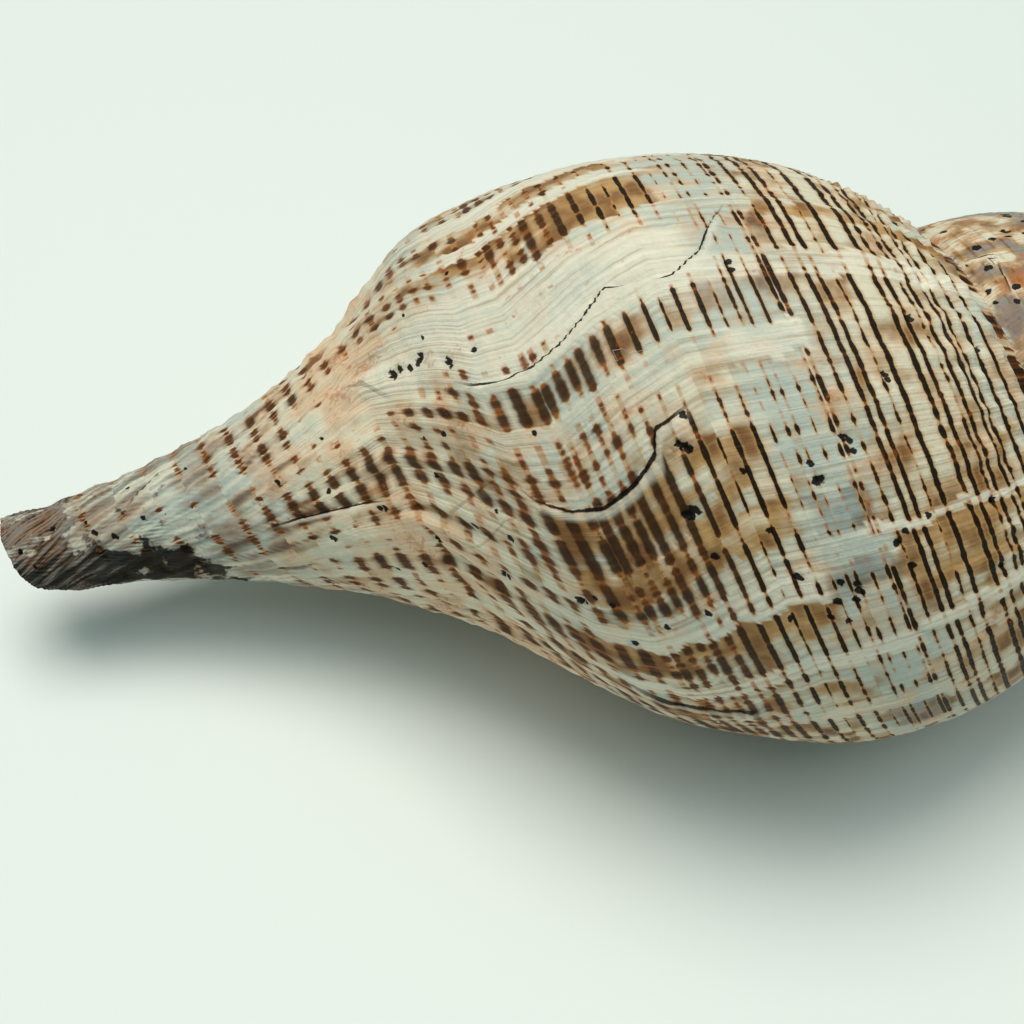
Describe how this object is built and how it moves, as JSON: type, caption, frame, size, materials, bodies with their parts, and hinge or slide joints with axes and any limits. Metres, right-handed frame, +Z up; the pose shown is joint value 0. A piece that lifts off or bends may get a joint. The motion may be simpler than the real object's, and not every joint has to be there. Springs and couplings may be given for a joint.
{
  "type": "tulip shell",
  "caption": "Large spindle-shaped sea snail shell with rounded whorls, a tall spire, a long canal and an open aperture, resting on its aperture.",
  "frame": {"origin": "centre of the footprint's bounding box, at the height of the ground it rests on", "axes": "+Z up, +X along the shell towards the spire, the outer lip on the +Y side"},
  "size_m": [0.1444, 0.0646, 0.0524],
  "materials": {
    "shell": "matt, weathered"
  },
  "bodies": {
    "root": {"shell": "shell"}
  },
  "joints": []
}
